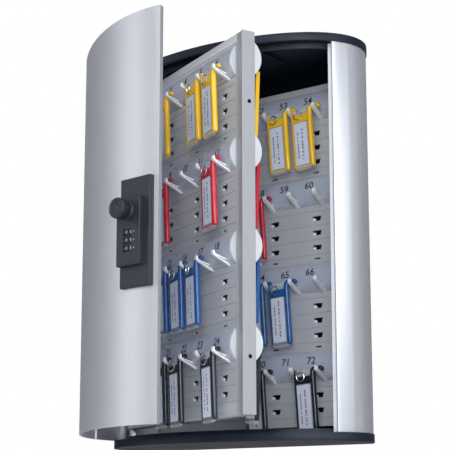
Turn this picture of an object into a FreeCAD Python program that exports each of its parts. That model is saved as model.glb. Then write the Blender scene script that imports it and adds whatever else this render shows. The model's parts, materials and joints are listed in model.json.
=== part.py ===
import FreeCAD, Part
import math
import os

from FreeCAD import Placement, Rotation, Vector

# Wall-hung key cabinet with a curved front. Millimetres, +Z up, -Y towards the user.
# Origin: centre of the rear face, which lies on the wall at Y = 0.

SIZES = {
    "width": 302.0,
    "height": 400.0,
    "depth": 118.0,
    "crown": 81.0,  # depth of the half ellipse that forms the curved front
    "cap_rim": 8.0,
    "cap_web": 3.0,
    "sheet": 2.0,  # aluminium wall thickness
    "skin_inset": 1.0,  # how far the aluminium lies inside the caps' outline
    "back_sheet": 1.5,
    "split_angle": 66.0,  # ellipse angle where the door ends and the right side begins
    "split_gap": 1.5,
    "door_rear_edge": 50.0,
    "side_front_edge": 44.5,
    "door_clearance": 1.2,
    "door_pin_x": -139.0,
    "door_pin_q": 53.0,
    "door_open": 40.0,
    "pin_radius": 2.5,
    "pin_clearance": 0.08,
    "knuckle_radius": 5.0,
    "leaf_pin_x": -124.0,
    "leaf_pin_q": 54.7,
    "leaf_open": 24.0,
    "leaf_length": 240.4,
    "leaf_thick": 12.8,
    "leaf_bottom": -179.0,
    "leaf_top": 186.0,
    "post_width": 12.4,
    "rail_height": 8.4,
    "face_sheet": 1.6,
    "board_top": 175.0,
    "board_bottom": -181.0,
    "board_thick": 3.5,
    "board_half": 128.0,
    "row_pitch": 91.0,
    "slats_per_row": 6.0,
    "board_row_top": 168.0,
    "leaf_row_top": 174.5,
    "strip_height": 30.0,
    "strip_bulge": 6.5,
    "label_thick": 0.4,
    "hook_reach": 19.0,
    "hook_width": 3.8,
    "board_hook_x": 85.0,
    "board_hook_pitch": 30.5,
    "leaf_hook_x": 213.0,
    "leaf_rear_hook_x": 196.0,
    "leaf_hook_pitch": 32.4,
    "tag_width": 24.0,
    "tag_height": 68.0,
    "tag_thick": 4.4,
    "tag_rail": 2.9,
    "tag_tilt": 4.0,
    "lock_plate_height": 100.5,
    "lock_plate_width": 38.0,
    "lock_body_height": 62.0,
    "lock_body_width": 30.0,
    "lock_body_thick": 5.0,
    "lock_z": -19.0,
    "lock_axis_x": -4.0,
    "knob_radius": 9.5,
    "knob_reach": 15.0,
    "knob_z": 19.0,
    "wheel_radius": 7.0,
    "wheel_thick": 5.4,
    "wheel_pitch": 7.3,
    "cam_length": 37.0,
}

ROWS = 4
HOOKS_PER_ROW = 6
HOLE_COLUMNS = 4

doc = FreeCAD.newDocument("KeyCabinet")
sheet = doc.addObject("Spreadsheet::Sheet", "Sizes")
for row, (alias, value) in enumerate(SIZES.items(), start=1):
    sheet.set(f"A{row}", alias)
    sheet.set(f"B{row}", str(value))
    sheet.setAlias(f"B{row}", alias)
doc.recompute()

nodes = []


def size(alias):
    """The value of one driving dimension, read from the sheet."""
    return float(sheet.get(alias))


def bind(obj, **expressions):
    """Binds properties of obj to expressions; a double underscore stands for a dot."""
    for name, expression in expressions.items():
        obj.setExpression(name.replace("__", "."), str(expression))
    return obj


def node(label, obj, place=None):
    """Registers obj as a named sub-part at its place."""
    obj.Label = label
    if place is not None:
        obj.Placement = place.multiply(obj.Placement)
    nodes.append(obj)
    return obj


def block(x_low, x_high, y_low, y_high, z_low, z_high):
    """A box between limits that are numbers or expressions of the sheet."""
    obj = doc.addObject("Part::Box", "Block")
    bind(
        obj,
        Length=f"({x_high}) - ({x_low})",
        Width=f"({y_high}) - ({y_low})",
        Height=f"({z_high}) - ({z_low})",
        Placement__Base__x=x_low,
        Placement__Base__y=y_low,
        Placement__Base__z=z_low,
    )
    return obj


def rod(radius, length, base, axis=Vector(0, 0, 1)):
    """A cylinder of bound radius and length from base along axis."""
    obj = doc.addObject("Part::Cylinder", "Rod")
    bind(obj, Radius=radius, Height=length)
    obj.Placement = Placement(base, Rotation(Vector(0, 0, 1), axis))
    return obj


def joined(*pieces):
    obj = doc.addObject("Part::MultiFuse", "Joined")
    obj.Shapes = list(pieces)
    obj.Refine = True
    return obj


def common(*pieces):
    obj = doc.addObject("Part::MultiCommon", "Common")
    obj.Shapes = list(pieces)
    return obj


def cut(base, *tools):
    obj = doc.addObject("Part::Cut", "Cut")
    obj.Base = base
    obj.Tool = tools[0] if len(tools) == 1 else grouped(*tools)
    return obj


def grouped(*pieces):
    """Separate solids kept in one node."""
    obj = doc.addObject("Part::Compound", "Group")
    obj.Links = list(pieces)
    return obj


def repeated(source, places):
    """A group of copies of one modelled piece, one at each place."""
    doc.recompute()
    solids = []
    for place in places:
        copy = source.Shape.copy()
        copy.Placement = place.multiply(copy.Placement)
        solids.append(copy)
    obj = doc.addObject("Part::Feature", "Copies")
    obj.Shape = Part.makeCompound(solids)
    return obj


def origin_plane(body, role):
    return next(feature for feature in body.Origin.OriginFeatures if feature.Role == role)


def sketch_on(body, role, outline, name="Profile"):
    """A closed sketch of straight edges on one of the body's origin planes."""
    sketch = body.newObject("Sketcher::SketchObject", name)
    sketch.AttachmentSupport = [(origin_plane(body, role), "")]
    sketch.MapMode = "FlatFace"
    for start, end in zip(outline, outline[1:] + outline[:1]):
        sketch.addGeometry(Part.LineSegment(Vector(*start, 0), Vector(*end, 0)))
    return sketch


def padded(name, role, outline, length):
    """A body made by padding an outline to a bound length, half to each side."""
    body = doc.addObject("PartDesign::Body", name)
    pad = body.newObject("PartDesign::Pad", "Pad")
    pad.Profile = sketch_on(body, role, outline)
    pad.Midplane = True
    bind(pad, Length=length)
    return body


def pocketed(body, role, outline):
    """Cuts an outline right through a body, both ways from its plane."""
    before = body_volume(body)
    pocket = body.newObject("PartDesign::Pocket", "Pocket")
    pocket.Profile = sketch_on(body, role, outline, "Opening")
    pocket.Midplane = True
    pocket.Type = "ThroughAll"
    if body_volume(body) >= before:
        raise RuntimeError(f"{body.Name}: the pocket cut nothing")


def body_volume(body):
    doc.recompute()
    return body.Shape.Volume


def turned(name, outline):
    """A body turned about Z from an outline of (radius, height) points."""
    body = doc.addObject("PartDesign::Body", name)
    sketch = sketch_on(body, "XZ_Plane", outline)
    revolution = body.newObject("PartDesign::Revolution", "Revolution")
    revolution.Profile = sketch
    revolution.ReferenceAxis = (sketch, ["V_Axis"])
    revolution.Angle = 360.0
    return body


def rectangle(x_low, x_high, y_low, y_high):
    return [(x_low, y_low), (x_high, y_low), (x_high, y_high), (x_low, y_high)]


# ---- plan outline: an ellipse that the wall cuts off behind its widest point ----


def plan_prism(inset, z_low, z_high):
    """A prism of the cabinet's plan, drawn in by inset, between two heights."""
    ellipse = doc.addObject("Part::Ellipse", "PlanEllipse")
    bind(
        ellipse,
        MajorRadius=f"Sizes.width / 2 - ({inset})",
        MinorRadius=f"Sizes.crown - ({inset})",
        Placement__Base__y="Sizes.crown - Sizes.depth",
        Placement__Base__z=z_low,
    )
    outline = doc.addObject("Part::Extrusion", "PlanOutline")
    outline.Base = ellipse
    outline.DirMode = "Custom"
    outline.Dir = Vector(0, 0, 1)
    outline.Solid = True
    bind(outline, LengthFwd=f"({z_high}) - ({z_low})")
    beyond_wall = block("-Sizes.width", "Sizes.width", 0, "Sizes.width", z_low, z_high)
    return cut(outline, beyond_wall)


def plan_wall(outer_inset, inner_inset, z_low, z_high):
    """A wall that follows the plan outline between two insets."""
    inner = plan_prism(inner_inset, f"({z_low}) - 1", f"({z_high}) + 1")
    return cut(plan_prism(outer_inset, z_low, z_high), inner)


def outline_point(degrees, inset=0.0):
    """Point of the front ellipse, counted from the crown towards +X."""
    angle = math.radians(degrees)
    side = (size("width") / 2 - inset) * math.sin(angle)
    forward = (size("crown") - inset) * math.cos(angle)
    return Vector(side, size("crown") - size("depth") - forward, 0)


def outline_turn(degrees):
    """Direction of the ellipse at that point, in degrees from +X."""
    angle = math.radians(degrees)
    across = size("width") / 2 * math.cos(angle)
    back = size("crown") * math.sin(angle)
    return math.degrees(math.atan2(back, across))


FAR = size("width") * 2


def split_block(start, end):
    """A tall block square to the wall at the door's free edge, from start to end."""
    tall = 1.1 * size("height")
    reach = FAR
    obj = doc.addObject("Part::Box", "SplitBlock")
    obj.Length = end - start
    obj.Width = 2 * reach
    obj.Height = tall
    turn = Rotation(Vector(0, 0, 1), outline_turn(size("split_angle")))
    corner = outline_point(size("split_angle")) + turn.multVec(Vector(start, -reach, -tall / 2))
    obj.Placement = Placement(corner, turn)
    return obj


CLEAR_TOP = "Sizes.height / 2 - Sizes.cap_rim"

door_pin = Vector(size("door_pin_x"), -size("door_pin_q"), 0)
leaf_pin = Vector(size("leaf_pin_x"), -size("leaf_pin_q"), 0)
door_turn = Rotation(Vector(0, 0, 1), -size("door_open"))
door_place = Placement(door_pin, door_turn).multiply(Placement(-door_pin, Rotation()))
leaf_place = Placement(leaf_pin, Rotation(Vector(0, 0, 1), -size("leaf_open")))


# ---- cabinet shell ----

DOOR_PIN_LENGTH = 13
LEAF_PIN_LENGTH = 24
COLLAR_RADIUS = 4.4
COLLAR_GAP = 0.4
RIM_LIP = 1.2  # how far a cap's rim reaches inside the aluminium
STOP_INSET = 14
STOP_THICK = 2.5
STOP_DROP = 4
STOP_LEFT_END = -112
STOP_REAR_END = -42
RIB_XS = (-60, 0, 60)
RIB_HALF = 1
RIB_FRONT = 22
RIB_REAR = -34


def pin_rod(pin, side):
    """One hinge pin, held in a cap and standing out of it towards the door or the leaf."""
    outer_end = side * (size("height") / 2 - size("cap_web"))
    length = DOOR_PIN_LENGTH if pin is door_pin else LEAF_PIN_LENGTH
    return rod("Sizes.pin_radius", length, Vector(pin.x, pin.y, outer_end), Vector(0, 0, -side))


def collared_pin(side):
    """A leaf pin with the collar that keeps the leaf at its height."""
    cap_face = side * (size("height") / 2 - size("cap_rim"))
    leaf_end = size("leaf_top") if side > 0 else size("leaf_bottom")
    length = abs(cap_face - leaf_end) - COLLAR_GAP
    start = Vector(leaf_pin.x, leaf_pin.y, cap_face)
    return joined(pin_rod(leaf_pin, side), rod(COLLAR_RADIUS, length, start, Vector(0, 0, -side)))


def end_cap(label, side):
    """Top (side 1) or bottom (side -1) moulding: a web, an outer rim, a door stop and pin bosses."""
    outer = "Sizes.height / 2"
    web = plan_prism(0, f"{outer} - Sizes.cap_web", outer)
    web_inside = f"{outer} - Sizes.cap_web"
    rim = plan_wall(0, f"Sizes.skin_inset + Sizes.sheet + {RIM_LIP}", CLEAR_TOP, outer)
    stop = cut(
        plan_wall(STOP_INSET, STOP_INSET + STOP_THICK, f"{CLEAR_TOP} - {STOP_DROP}", web_inside),
        block("-Sizes.width", STOP_LEFT_END, "-Sizes.depth", 0, 0, outer),
        block("-Sizes.width", "Sizes.width", STOP_REAR_END, 0, 0, outer),
    )
    rib_front = f"-Sizes.depth + {RIB_FRONT}"
    ribs = [
        block(x - RIB_HALF, x + RIB_HALF, rib_front, RIB_REAR, f"{CLEAR_TOP} + 1", web_inside)
        for x in RIB_XS
    ]
    boss_height = "Sizes.cap_rim - Sizes.cap_web"
    boss_base = size("height") / 2 - size("cap_rim")
    bosses = [
        rod("Sizes.knuckle_radius", boss_height, Vector(pin.x, pin.y, boss_base))
        for pin in (door_pin, leaf_pin)
    ]
    cap = joined(web, rim, stop, *ribs, *bosses)
    if side < 0:
        mirrored = doc.addObject("Part::Mirroring", "Mirrored")
        mirrored.Source = cap
        mirrored.Normal = Vector(0, 0, 1)
        cap = mirrored
    return node(label, cut(cap, *[pin_rod(pin, side) for pin in (door_pin, leaf_pin)]))


end_cap("top_cap", 1)
end_cap("bottom_cap", -1)
node("door_pins", grouped(pin_rod(door_pin, 1), pin_rod(door_pin, -1)))
node("leaf_pins", grouped(collared_pin(1), collared_pin(-1)))

BACK_HALF = 130.0
BACK_HALF_HEIGHT = 191.8
TONGUE_HALF = 128.4
TONGUE_HALF_HEIGHT = 196.9
WALL_HOLE_X = 105
WALL_HOLE_Z = 150
WALL_HOLE_RADIUS = 3

wide_sheet = block(-BACK_HALF, BACK_HALF, "-Sizes.back_sheet", 0, -BACK_HALF_HEIGHT, BACK_HALF_HEIGHT)
tongues = block(
    -TONGUE_HALF, TONGUE_HALF, "-Sizes.back_sheet", 0, -TONGUE_HALF_HEIGHT, TONGUE_HALF_HEIGHT
)
wall_holes = [
    rod(WALL_HOLE_RADIUS, 20, Vector(x, -10, z), Vector(0, 1, 0))
    for x in (-WALL_HOLE_X, WALL_HOLE_X)
    for z in (-WALL_HOLE_Z, WALL_HOLE_Z)
]
node("back_plate", cut(joined(wide_sheet, tongues), *wall_holes))

END_GAP = 0.1
WALL_GAP = 0.2
RIGHT_SIDE_START = 100
JAMB_THICK = 1.8
JAMB_REACH = 16
JAMB_FACE_INWARD = 5.7
JAMB_FACE_OUTWARD = 3.6
JAMB_FACE_START = 3.8
JAMB_FACE_END = 6
LEFT_JAMB_FRONT = -38
SIDE_HALF_HEIGHT = f"Sizes.height / 2 - Sizes.cap_rim - {END_GAP}"


def side_wall():
    """A fresh aluminium wall along the whole plan outline, between the caps."""
    return plan_wall(
        "Sizes.skin_inset",
        "Sizes.skin_inset + Sizes.sheet",
        f"-({SIDE_HALF_HEIGHT})",
        SIDE_HALF_HEIGHT,
    )


side_region = (f"-({SIDE_HALF_HEIGHT})", SIDE_HALF_HEIGHT)
left_region = block("-Sizes.width", 0, "-Sizes.side_front_edge", -WALL_GAP, *side_region)
node("left_side_panel", common(side_wall(), left_region))
right_region = common(
    split_block(0, FAR),
    block(RIGHT_SIDE_START, FAR, "-Sizes.depth", -WALL_GAP, *side_region),
)
node("right_side_panel", common(side_wall(), right_region))


def jamb_wall():
    """A fresh lining along the inside of the aluminium wall."""
    lined = "Sizes.skin_inset + Sizes.sheet"
    return plan_wall(lined, f"{lined} + {JAMB_THICK}", *side_region)


# The right jamb lines the side panel's front edge and turns in as the face the door closes on.
jamb_lining = common(jamb_wall(), split_block(0, JAMB_REACH))
jamb_corner = outline_point(size("split_angle"), size("skin_inset") + size("sheet"))
jamb_face = cut(
    block(
        jamb_corner.x - JAMB_FACE_INWARD,
        jamb_corner.x + JAMB_FACE_OUTWARD,
        jamb_corner.y + JAMB_FACE_START,
        jamb_corner.y + JAMB_FACE_END,
        *side_region,
    ),
    plan_wall(-5, "Sizes.skin_inset + Sizes.sheet", *side_region),
)
node("right_jamb", joined(jamb_lining, jamb_face))

# The left jamb lines the left side panel and ends on the back plate.
left_jamb_region = block("-Sizes.width", 0, LEFT_JAMB_FRONT, "-Sizes.back_sheet", *side_region)
node("left_jamb", common(jamb_wall(), left_jamb_region))


# ---- slatted key boards ----

HOLE_WIDTH_TOP = 11
HOLE_WIDTH_BOTTOM = 8.4
HOLE_HEIGHT = 5
BOARD_HOLE_X = 77
BOARD_HOLE_PITCH = 52
LEAF_HOLE_X = 204
LEAF_HOLE_PITCH = 56
GROOVE_WIDTH = 0.9
GROOVE_DEPTH = 0.7
GROOVES_PER_ROW = 4
FIRST_GROOVE_DROP = 7.0
SLIT_LENGTH = 7.0
SLIT_HEIGHT = 1.6
SLIT_DROP = 5.0
STRIP_RIM = 1.2  # a strip's thickness along its upper and lower edges
LABEL_MARGIN = 2


def hole_prism(x, z, low, high):
    """A hook opening, wider above than below, through a slat between two depths."""
    half_top, half_bottom = HOLE_WIDTH_TOP / 2, HOLE_WIDTH_BOTTOM / 2
    corners = [
        (x - half_bottom, z - HOLE_HEIGHT / 2),
        (x + half_bottom, z - HOLE_HEIGHT / 2),
        (x + half_top, z + HOLE_HEIGHT / 2),
        (x - half_top, z + HOLE_HEIGHT / 2),
    ]
    wire = Part.makePolygon([Vector(cx, low, cz) for cx, cz in corners + corners[:1]])
    return Part.Face(wire).extrude(Vector(0, high - low, 0))


def slat_cutters(x_low, x_high, z_low, row_top, hole_xs, front, back):
    """Grooves between the slats and the hook openings, for a face that looks along -Y."""
    slat = size("row_pitch") / size("slats_per_row")
    solids = []
    for row_index in range(ROWS):
        strip_bottom = row_top - row_index * size("row_pitch") - size("strip_height")
        for slat_index in range(GROOVES_PER_ROW):
            groove = strip_bottom - FIRST_GROOVE_DROP - slat_index * slat
            if groove < z_low + HOLE_HEIGHT:
                continue
            low_side = Vector(x_low, front - 0.001, groove - GROOVE_WIDTH / 2)
            solids.append(Part.makeBox(x_high - x_low, GROOVE_DEPTH, GROOVE_WIDTH, low_side))
            if slat_index == GROOVES_PER_ROW - 1:
                for x in hole_xs:
                    slit = Vector(x - SLIT_LENGTH / 2, front - 1, groove - SLIT_DROP)
                    solids.append(Part.makeBox(SLIT_LENGTH, back - front + 2, SLIT_HEIGHT, slit))
            elif groove - slat / 2 - HOLE_HEIGHT > z_low:
                solids += [hole_prism(x, groove - slat / 2, front - 1, back + 1) for x in hole_xs]
    obj = doc.addObject("Part::Feature", "SlatCutters")
    obj.Shape = Part.makeCompound(solids)
    return obj


def slatted(x_low, x_high, z_low, z_high, front, back, row_top, hole_xs):
    plate = block(x_low, x_high, front, back, z_low, z_high)
    return cut(plate, slat_cutters(x_low, x_high, z_low, row_top, hole_xs, front, back))


def arc_radius(half_chord, rise):
    """Radius of an arc that rises by rise over a chord of twice half_chord."""
    return (half_chord**2 + rise**2) / (2 * rise)


def hook_strip(x_low, x_high, front, z_top):
    """A bulged strip that carries one row of hooks, its flat side at Y = front."""
    half = size("strip_height") / 2
    bulge = size("strip_bulge")
    radius = arc_radius(half, bulge - STRIP_RIM)
    strip_foot = f"{z_top} - Sizes.strip_height"
    plate = block(x_low, x_high, f"{front} - Sizes.strip_bulge", front, strip_foot, z_top)
    centre = Vector(x_low, front - bulge + radius, z_top - half)
    return common(plate, rod(radius, x_high - x_low, centre, Vector(1, 0, 0)))


def strip_label(x_low, x_high, front, z_top):
    """The printed label sheet that follows the strip's bulge."""
    half = size("strip_height") / 2
    bulge = size("strip_bulge")
    radius = arc_radius(half, bulge - STRIP_RIM)
    centre = Vector(x_low, front - bulge + radius, z_top - half)
    outer = rod(f"{radius} + Sizes.label_thick", x_high - x_low, centre, Vector(1, 0, 0))
    inner = rod(radius, x_high - x_low, centre, Vector(1, 0, 0))
    label_foot = z_top - 2 * half + LABEL_MARGIN
    window = block(x_low, x_high, front - 2 * bulge, front, label_foot, z_top - LABEL_MARGIN)
    return common(cut(outer, inner), window)


def hook_body():
    """One plastic hook in side view: foot on the strip, rising arm, upturned tip."""
    reach = size("hook_reach")
    outline = [
        (0.0, 0.0),
        (reach * 0.87, 8.6),
        (reach, 10.6),
        (reach * 0.98, 14.4),
        (reach * 0.9, 14.0),
        (reach * 0.86, 11.0),
        (reach * 0.32, 7.6),
        (0.0, 6.8),
    ]
    body = padded("HookBody", "YZ_Plane", [(-y, z) for y, z in outline], "Sizes.hook_width")
    slot = [(2.6, 3.6), (reach * 0.7, 8.2), (reach * 0.7, 8.9), (2.6, 4.8)]
    pocketed(body, "YZ_Plane", [(-y, z) for y, z in slot])
    return body


hook_master = hook_body()
HOOK_FOOT_UP = -1.5


def hook_places(xs, front, row_top, turn=Rotation()):
    """Places of a board's hooks: each foot goes through the strip to the board's face."""
    places = []
    for row_index in range(ROWS):
        z = row_top - row_index * size("row_pitch") - size("strip_height") + HOOK_FOOT_UP
        places += [Placement(Vector(x, front, z), Rotation()) for x in xs]
    return [Placement(Vector(), turn).multiply(place) for place in places]


def row_tops(first):
    return [first - row_index * size("row_pitch") for row_index in range(ROWS)]


def hook_columns(last, pitch):
    return [last - pitch * index for index in reversed(range(HOOKS_PER_ROW))]


STRIP_SHORT = 3  # how far the strips end before the key board's edges
BOARD_SCREW_X = 122
BOARD_SCREW_HEIGHTS = (-172, -90, 0, 90)
board_back = -size("back_sheet") - END_GAP
board_front = board_back - size("board_thick")
board_half = size("board_half")
board_holes = [BOARD_HOLE_X - BOARD_HOLE_PITCH * index for index in range(HOLE_COLUMNS)]
node(
    "key_board",
    slatted(
        -board_half,
        board_half,
        size("board_bottom"),
        size("board_top"),
        board_front,
        board_back,
        size("board_row_top"),
        board_holes,
    ),
)
board_tops = row_tops(size("board_row_top"))
strip_half = board_half - STRIP_SHORT
node("board_strips", grouped(*[hook_strip(-strip_half, strip_half, board_front, z) for z in board_tops]))
node("board_labels", grouped(*[strip_label(-strip_half, strip_half, board_front, z) for z in board_tops]))
board_hook_xs = hook_columns(size("board_hook_x"), size("board_hook_pitch"))
node("board_hooks", repeated(hook_master, hook_places(board_hook_xs, board_front, size("board_row_top"))))


def screw_body(head_radius, head_height, shank_radius, shank_length):
    """A pan-head screw with its head's underside at Z = 0 and its shank below."""
    outline = [
        (0, -shank_length),
        (shank_radius, -shank_length),
        (shank_radius, 0),
        (head_radius, 0),
        (head_radius, head_height * 0.4),
        (head_radius * 0.6, head_height),
        (0, head_height),
    ]
    return turned("ScrewBody", outline)


FORWARD = Rotation(Vector(1, 0, 0), 90)
board_screw = screw_body(3.2, 1.8, 1.4, 3.0)
board_screw_places = [
    Placement(Vector(x, board_front, z), FORWARD)
    for x in (-BOARD_SCREW_X, BOARD_SCREW_X)
    for z in BOARD_SCREW_HEIGHTS
]
node("board_screws", repeated(board_screw, board_screw_places))


# ---- swing leaf: a hollow frame with a slatted face, hook strips and hooks on both sides ----

leaf_half = size("leaf_thick") / 2
leaf_length = size("leaf_length")
post_start = leaf_length - size("post_width")
HINGE_POST = 10.4
BOTTOM_RAIL = 4
POST_GROOVE_START = 2.6
POST_GROOVE_END = 3.6
POST_GROOVE_DEPTH = 0.8
POST_SCREW_HEIGHTS = (116, -126)
FACE_INSET = 0.6
STRIP_GAP = 2
CLIP_ROOM = 4.4
leaf_limits = ("Sizes.leaf_bottom", "Sizes.leaf_top")

hinge_post = joined(
    block(0, HINGE_POST, "-Sizes.leaf_thick / 2", "Sizes.leaf_thick / 2", *leaf_limits),
    rod("Sizes.leaf_thick / 2", "Sizes.leaf_top - Sizes.leaf_bottom", Vector(0, 0, size("leaf_bottom"))),
)
bore_foot = Vector(0, 0, -size("height") / 2)
leaf_bore = rod("Sizes.pin_radius + Sizes.pin_clearance", "Sizes.height", bore_foot)
node("leaf_hinge_post", cut(hinge_post, leaf_bore), leaf_place)

for label, z_low, z_high in (
    ("leaf_top_rail", "Sizes.leaf_top - Sizes.rail_height", "Sizes.leaf_top"),
    ("leaf_bottom_rail", "Sizes.leaf_bottom", f"Sizes.leaf_bottom + {BOTTOM_RAIL}"),
):
    rail = block(HINGE_POST, post_start, "-Sizes.leaf_thick / 2", "Sizes.leaf_thick / 2", z_low, z_high)
    node(label, grouped(rail), leaf_place)

post = block(post_start, leaf_length, "-Sizes.leaf_thick / 2", "Sizes.leaf_thick / 2", *leaf_limits)
post_groove = block(
    post_start + POST_GROOVE_START,
    post_start + POST_GROOVE_END,
    "-Sizes.leaf_thick",
    "Sizes.leaf_thick",
    *leaf_limits,
)
core_half = leaf_half - POST_GROOVE_DEPTH
groove_core = block(post_start, leaf_length, -core_half, core_half, *leaf_limits)
node("leaf_post", cut(post, cut(post_groove, groove_core)), leaf_place)

post_screw = screw_body(1.9, 0.8, 1.0, 4.0)
post_screw_turn = Rotation(Vector(0, 1, 0), 90)
post_screw_places = [
    Placement(Vector(leaf_length, 0, z), post_screw_turn) for z in POST_SCREW_HEIGHTS
]
node("leaf_post_screws", repeated(post_screw, post_screw_places), leaf_place)

face_bottom = size("leaf_bottom") + BOTTOM_RAIL
face_top = size("leaf_top") - size("rail_height")
leaf_face = -leaf_half + FACE_INSET
leaf_holes = [LEAF_HOLE_X - LEAF_HOLE_PITCH * index for index in range(HOLE_COLUMNS)]
ABOUT = Rotation(Vector(0, 0, 1), 180)
front_face = slatted(
    HINGE_POST,
    post_start,
    face_bottom,
    face_top,
    leaf_face,
    leaf_face + size("face_sheet"),
    size("leaf_row_top"),
    leaf_holes,
)
node("leaf_front_sheet", front_face, leaf_place)
rear_face = slatted(
    -post_start,
    -HINGE_POST,
    face_bottom,
    face_top,
    leaf_face,
    leaf_face + size("face_sheet"),
    size("leaf_row_top"),
    [-x for x in leaf_holes],
)
rear_turn = Placement(Vector(), ABOUT)
node("leaf_rear_sheet", rear_face, leaf_place.multiply(rear_turn))

strip_low = HINGE_POST + STRIP_GAP
strip_high = post_start - CLIP_ROOM
leaf_tops = row_tops(size("leaf_row_top"))
for index, z_top in enumerate(leaf_tops, start=1):
    strip = grouped(hook_strip(strip_low, strip_high, leaf_face, z_top))
    node(f"leaf_front_strip_{index}", strip, leaf_place)
rear_strips = grouped(*[hook_strip(-strip_high, -strip_low, leaf_face, z) for z in leaf_tops])
node("leaf_rear_strips", rear_strips, leaf_place.multiply(rear_turn))
front_labels = grouped(*[strip_label(strip_low, strip_high, leaf_face, z) for z in leaf_tops])
rear_labels = grouped(*[strip_label(-strip_high, -strip_low, leaf_face, z) for z in leaf_tops])
rear_labels.Placement = rear_turn
node("leaf_labels", grouped(front_labels, rear_labels), leaf_place)


CLIP_EDGE = 0.8
CLIP_BULGE = 0.9
CLIP_START = 0.1
CLIP_END = 4.2


def end_clip(x_low, x_high, front, strip_top):
    """A half-moon plastic clip that closes the end of a strip."""
    z_top = strip_top + CLIP_EDGE
    half = size("strip_height") / 2 + CLIP_EDGE
    bulge = size("strip_bulge") + CLIP_BULGE
    radius = arc_radius(half, bulge)
    plate = block(x_low, x_high, front - bulge, front, z_top - 2 * half, z_top)
    centre = Vector(x_low, front - bulge + radius, z_top - half)
    return common(plate, rod(radius, x_high - x_low, centre, Vector(1, 0, 0)))


clip_low = strip_high + CLIP_START
clip_high = strip_high + CLIP_END
front_clips = grouped(*[end_clip(clip_low, clip_high, leaf_face, z) for z in leaf_tops])
rear_clips = grouped(*[end_clip(-clip_high, -clip_low, leaf_face, z) for z in leaf_tops])
rear_clips.Placement = rear_turn
node("leaf_end_clips", grouped(front_clips, rear_clips), leaf_place)

front_hook_xs = hook_columns(size("leaf_hook_x"), size("leaf_hook_pitch"))
front_hooks = hook_places(front_hook_xs, leaf_face, size("leaf_row_top"))
node("leaf_front_hooks", repeated(hook_master, front_hooks), leaf_place)
rear_hook_xs = [-x for x in hook_columns(size("leaf_rear_hook_x"), size("leaf_hook_pitch"))]
rear_hooks = hook_places(rear_hook_xs, leaf_face, size("leaf_row_top"), ABOUT)
node("leaf_rear_hooks", repeated(hook_master, rear_hooks), leaf_place)


# ---- key tags: a coloured holder with a thick rail, a clear sleeve and a paper insert ----

RAIL_SHIFT = -7.0
TAG_DEPTH = 14.3
TAG_HANG_UP = 14.2
TAG_FOOT = 3  # how far the sleeve reaches below the holder
BAR_RADIUS = 1.6
BAR_LENGTH = 11.0
BAR_DROP = 1.2
TAG_EDGE = 1.8
TAG_LINE = 1.4
BAND_LOW = -16.0
BAND_HIGH = -8.0
SLEEVE_TOP = -1.5
SLEEVE_GAP = 0.1
SLEEVE_WALL = 0.4
POCKET_HALF = 0.45
PAPER_HALF = 0.2
RING_RADIUS = 4.6
RING_WIRE = 0.6
RING_OUT = 0.9
RING_DROP = 9.5

tag_left = RAIL_SHIFT - size("tag_width") + size("tag_rail")
tag_drop = size("tag_height") - TAG_FOOT
sleeve_left = tag_left + TAG_EDGE + SLEEVE_GAP / 2
sleeve_right = RAIL_SHIFT - size("tag_rail") - SLEEVE_GAP / 2
pocket_foot = -tag_drop + TAG_LINE + SLEEVE_GAP + SLEEVE_WALL
pocket_top = BAND_LOW - SLEEVE_GAP - SLEEVE_WALL


def tag_frame():
    """The coloured holder, hanging from a short bar across the hook's arm."""
    half_thick = size("tag_thick") / 2
    rail = rod("Sizes.tag_rail", tag_drop, Vector(RAIL_SHIFT, 0, -tag_drop))
    bar = rod(BAR_RADIUS, BAR_LENGTH, Vector(RAIL_SHIFT, 0, -BAR_DROP), Vector(1, 0, 0))
    edge = block(tag_left, tag_left + TAG_EDGE, -half_thick, half_thick, -tag_drop, 0)
    band = block(tag_left, RAIL_SHIFT, 0.2 - half_thick, half_thick - 0.2, BAND_LOW, BAND_HIGH)
    foot = -tag_drop + TAG_LINE
    line = block(tag_left, RAIL_SHIFT, 0.6 - half_thick, half_thick - 0.6, -tag_drop, foot)
    return joined(rail, bar, edge, band, line)


def sleeve_block(z_low, z_high):
    """A clear block between the holder's edge and rail."""
    half_thick = size("tag_thick") / 2 - 0.3
    return block(sleeve_left, sleeve_right, -half_thick, half_thick, z_low, z_high)


def tag_sleeve():
    """The clear sleeve between edge and rail, with its insert's pocket cut out."""
    upper = sleeve_block(BAND_HIGH + SLEEVE_GAP, SLEEVE_TOP)
    window = sleeve_block(-tag_drop + TAG_LINE + SLEEVE_GAP, BAND_LOW - SLEEVE_GAP)
    lower = sleeve_block("-Sizes.tag_height", -tag_drop - SLEEVE_GAP)
    pocket = block(
        sleeve_left + SLEEVE_WALL,
        sleeve_right - SLEEVE_WALL,
        -POCKET_HALF,
        POCKET_HALF,
        pocket_foot,
        pocket_top,
    )
    return grouped(upper, cut(window, pocket), lower)


def tag_insert():
    """The paper in the sleeve's pocket, a little smaller than the pocket."""
    gap = PAPER_HALF
    left = sleeve_left + SLEEVE_WALL + gap
    right = sleeve_right - SLEEVE_WALL - gap
    return grouped(block(left, right, -PAPER_HALF, PAPER_HALF, pocket_foot + gap, pocket_top - gap))


def key_ring():
    ring = doc.addObject("Part::Torus", "RingTorus")
    ring.Radius1 = RING_RADIUS
    ring.Radius2 = RING_WIRE
    centre = Vector(
        RAIL_SHIFT - size("tag_width") * 0.52,
        -size("tag_thick") / 2 - RING_OUT,
        -RING_DROP,
    )
    ring.Placement = Placement(centre, FORWARD)
    return ring


tag_pieces = {
    "frame": tag_frame(),
    "sleeve": tag_sleeve(),
    "insert": tag_insert(),
    "ring": key_ring(),
}
TAG_TILT = Rotation(Vector(0, 1, 0), -size("tag_tilt"))


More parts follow.
